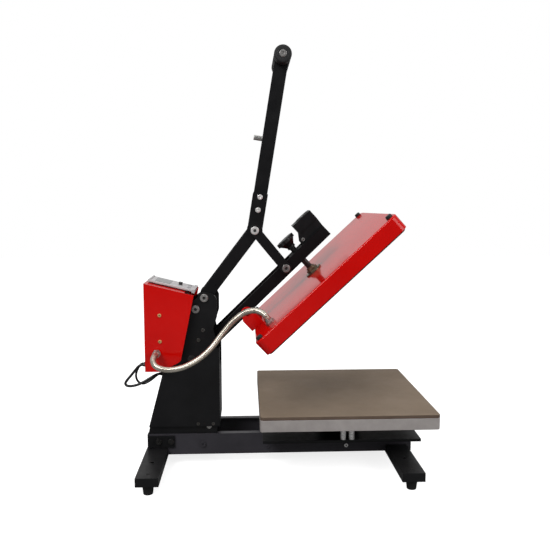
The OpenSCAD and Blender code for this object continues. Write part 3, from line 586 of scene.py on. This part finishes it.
def swept(name, route, radius_at, sides):
    """Tube along a route, its radius given by the distance along it."""
    bm = bmesh.new()
    rings, along = [], 0.0
    tangent = (route[1] - route[0]).normalized()
    side = tangent.orthogonal().normalized()
    for i, point in enumerate(route):
        ahead = route[min(i + 1, len(route) - 1)] - route[max(i - 1, 0)]
        tangent = ahead.normalized()
        side = (side - tangent * side.dot(tangent)).normalized()
        other = tangent.cross(side)
        radius = radius_at(along)
        rings.append([
            bm.verts.new(point + radius * (math.cos(2 * math.pi * k / sides) * side
                                           + math.sin(2 * math.pi * k / sides) * other))
            for k in range(sides)
        ])
        if i + 1 < len(route):
            along += (route[i + 1] - point).length
    for a, b in zip(rings, rings[1:]):
        for k in range(sides):
            bm.faces.new((a[k], a[(k + 1) % sides], b[(k + 1) % sides], b[k]))
    bm.faces.new(list(reversed(rings[0])))
    bm.faces.new(rings[-1])
    bmesh.ops.recalc_face_normals(bm, faces=bm.faces)
    mesh = bpy.data.meshes.new(name)
    bm.to_mesh(mesh)
    bm.free()
    smooth(mesh)
    return link(bpy.data.objects.new(name, mesh))


def millimetres(points):
    return [(x * MM, y * MM, z * MM) for x, y, z in points]


# the hose's fitting on the platen cover, in millimetres with the head closed
FITTING_X = -20
FITTING_Y = -132
FITTING_NUT = 5.5
FITTING_TILT = math.radians(12.0)


def in_fitting(h):
    """The point h millimetres above the fitting's nut, along its tilted ferrule, head open."""
    x = FITTING_X + h * math.sin(FITTING_TILT)
    z = COVER_TOP + FITTING_NUT + h * math.cos(FITTING_TILT)
    return tuple(RAISED @ Vector((x * MM, FITTING_Y * MM, z * MM)))


# the middle line of each cord, from where it leaves its own fitting or cord grip
HOSE = millimetres([
    (-289, -92, 266), (-289, -97, 266),
    (-290.5, -108, 264.5), (-290.5, -120, 260.5), (-287, -131, 255.5), (-280, -140, 251.5),
    (-269, -146, 248.5), (-255, -149.5, 247), (-240, -149, 248), (-225, -146, 251),
    (-212, -142, 255.5), (-200, -137, 261), (-187, -130, 268.5), (-175, -122, 277.5),
    (-164, -114, 288), (-154, -107, 299.5), (-145, -102, 311), (-136, -98.5, 321.5),
    (-127, -96.5, 332), (-117, -96, 342), (-107, -97, 350.5), (-97, -100, 357.6),
    (-88, -105, 362.6), (-79, -110.5, 365.6), (-72, -115.5, 366.9), (-66, -120.5, 366.9),
    (-60.4, -125, 365.8), (-54.6, -129, 363.3), (-49.6, -131.5, 359.4),
]) + [in_fitting(10), in_fitting(7)]
POWER_LEAD = millimetres([
    (-326, -40, 231), (-330, -40, 231), (-337, -40, 226.5), (-345, -40.5, 217),
    (-354, -41, 206), (-362, -42, 196.5), (-365.9, -43, 189.5), (-363, -44, 184.5),
    (-353, -44, 183), (-339, -43, 185.5), (-325, -41, 191.5), (-311, -39, 199.5),
    (-298, -37, 206.5), (-289, -36, 208.5), (-281, -36, 207), (-275, -36, 205.4),
])
SIGNAL_LEAD = millimetres([
    (-326, -27, 231), (-330, -27, 231), (-336, -27, 225.5), (-341, -27.5, 216),
    (-344, -28, 206), (-343, -28, 196), (-338, -28, 187.5), (-328, -28, 184),
    (-317, -27.5, 188), (-306, -27, 195.5), (-296, -26, 203.5), (-289, -25, 207.5),
    (-281, -25, 207), (-275, -25, 205.4),
])
HOSE_R = 6.5 * MM
HOSE_STEP = 0.6 * MM
HOSE_SIDES = 18
RIB_PITCH = 2.6 * MM
RIB_DEPTH = 0.5 * MM
LEAD_STEP = 2.5 * MM
LEAD_SIDES = 16


def hose_radius(s):
    """Interlocked metal hose: a shallow groove every pitch."""
    return HOSE_R - RIB_DEPTH * (0.5 - 0.5 * math.cos(2 * math.pi * s / RIB_PITCH)) ** 2


hose_route, hose_length = smooth_route(HOSE, HOSE_STEP)
hose = swept("heater_hose_ribbed", hose_route, hose_radius, HOSE_SIDES)
dress(hose, "hose_steel")
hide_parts("heater_hose")
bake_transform(hose)

for lead_name, node_name, points, radius in (
        ("power_lead_pvc", "power_lead", POWER_LEAD, 3 * MM),
        ("signal_lead_pvc", "signal_lead", SIGNAL_LEAD, 2.5 * MM)):
    route, length = smooth_route(points, LEAD_STEP)
    lead = swept(lead_name, route, lambda s, r=radius: r, LEAD_SIDES)
    finish_piece(lead, node_name, "lead_pvc")


# ---------- stage ----------

FLOOR_HALF = 6.0
# the floor's grey and glow: in reflections and bounced light, and as the camera sees it
FLOOR_GREY = (0.25, 0.60)
FLOOR_GLOW = (0.0, 0.80)
# the room's light in front of the press and behind it, by the direction's Y
ROOM_FRONT = (-0.35, 0.20)
ROOM_BACK = (0.45, 0.62)
BACKDROP = 1.0
WHITE = (1.0, 1.0, 1.0, 1.0)
# place, the height on the object that it aims at, side of the square lamp, power
LIGHTS = {
    "key": ((-1.6, -2.2, 2.4), 0.35, 1.6, 76),
    "fill": ((2.4, -1.8, 1.8), 0.35, 1.8, 42),
    "top": ((0.0, 0.3, 3.0), 0.30, 3.4, 30),
}


def add_floor():
    corners = [(x * FLOOR_HALF, y * FLOOR_HALF, 0) for x, y in ((-1, -1), (1, -1), (1, 1), (-1, 1))]
    mesh = bpy.data.meshes.new("floor")
    mesh.from_pydata(corners, [], [(0, 1, 2, 3)])
    floor = link(bpy.data.objects.new("floor", mesh))
    mat, nodes, links, shader = new_material("floor_pale")
    seen = nodes.new("ShaderNodeLightPath").outputs["Is Camera Ray"]
    grey = mix(nodes, links, seen, (FLOOR_GREY[0],) * 3, (FLOOR_GREY[1],) * 3)
    links.new(grey, shader.inputs["Base Color"])
    links.new(spread(nodes, links, seen, 0.0, 1.0, *FLOOR_GLOW), shader.inputs["Emission Strength"])
    shader.inputs["Emission Color"].default_value = WHITE
    shader.inputs["Roughness"].default_value = 0.8
    shader.inputs["Specular IOR Level"].default_value = 0.0
    mesh.materials.append(mat)


def add_light(name, place, aim_z, side, power):
    data = bpy.data.lights.new(name, "AREA")
    data.shape = "SQUARE"
    data.size = side
    data.energy = power
    light = link(bpy.data.objects.new(name, data))
    light.location = place
    light.rotation_euler = (Vector((0.0, 0.0, aim_z)) - Vector(place)).to_track_quat("-Z", "Y").to_euler()


def add_world():
    """White backdrop, and a soft room that lights the press: brighter behind it, dim in front."""
    world = bpy.data.worlds.new("studio")
    bpy.context.scene.world = world
    world.use_nodes = True
    nodes, links = world.node_tree.nodes, world.node_tree.links
    direction = nodes.new("ShaderNodeSeparateXYZ")
    links.new(nodes.new("ShaderNodeTexCoord").outputs["Generated"], direction.inputs["Vector"])
    room = spread(nodes, links, direction.outputs["Y"],
                  ROOM_FRONT[0], ROOM_BACK[0], ROOM_FRONT[1], ROOM_BACK[1])
    seen = nodes.new("ShaderNodeLightPath").outputs["Is Camera Ray"]
    strength = nodes.new("ShaderNodeMix")
    links.new(seen, strength.inputs["Factor"])
    links.new(room, strength.inputs["A"])
    strength.inputs["B"].default_value = BACKDROP
    links.new(strength.outputs["Result"], nodes["Background"].inputs["Strength"])
    nodes["Background"].inputs["Color"].default_value = WHITE


add_floor()
add_world()
for light_name, (place, aim_z, side, power) in LIGHTS.items():
    add_light(light_name, place, aim_z, side, power)
bpy.context.scene.view_settings.view_transform = "Standard"
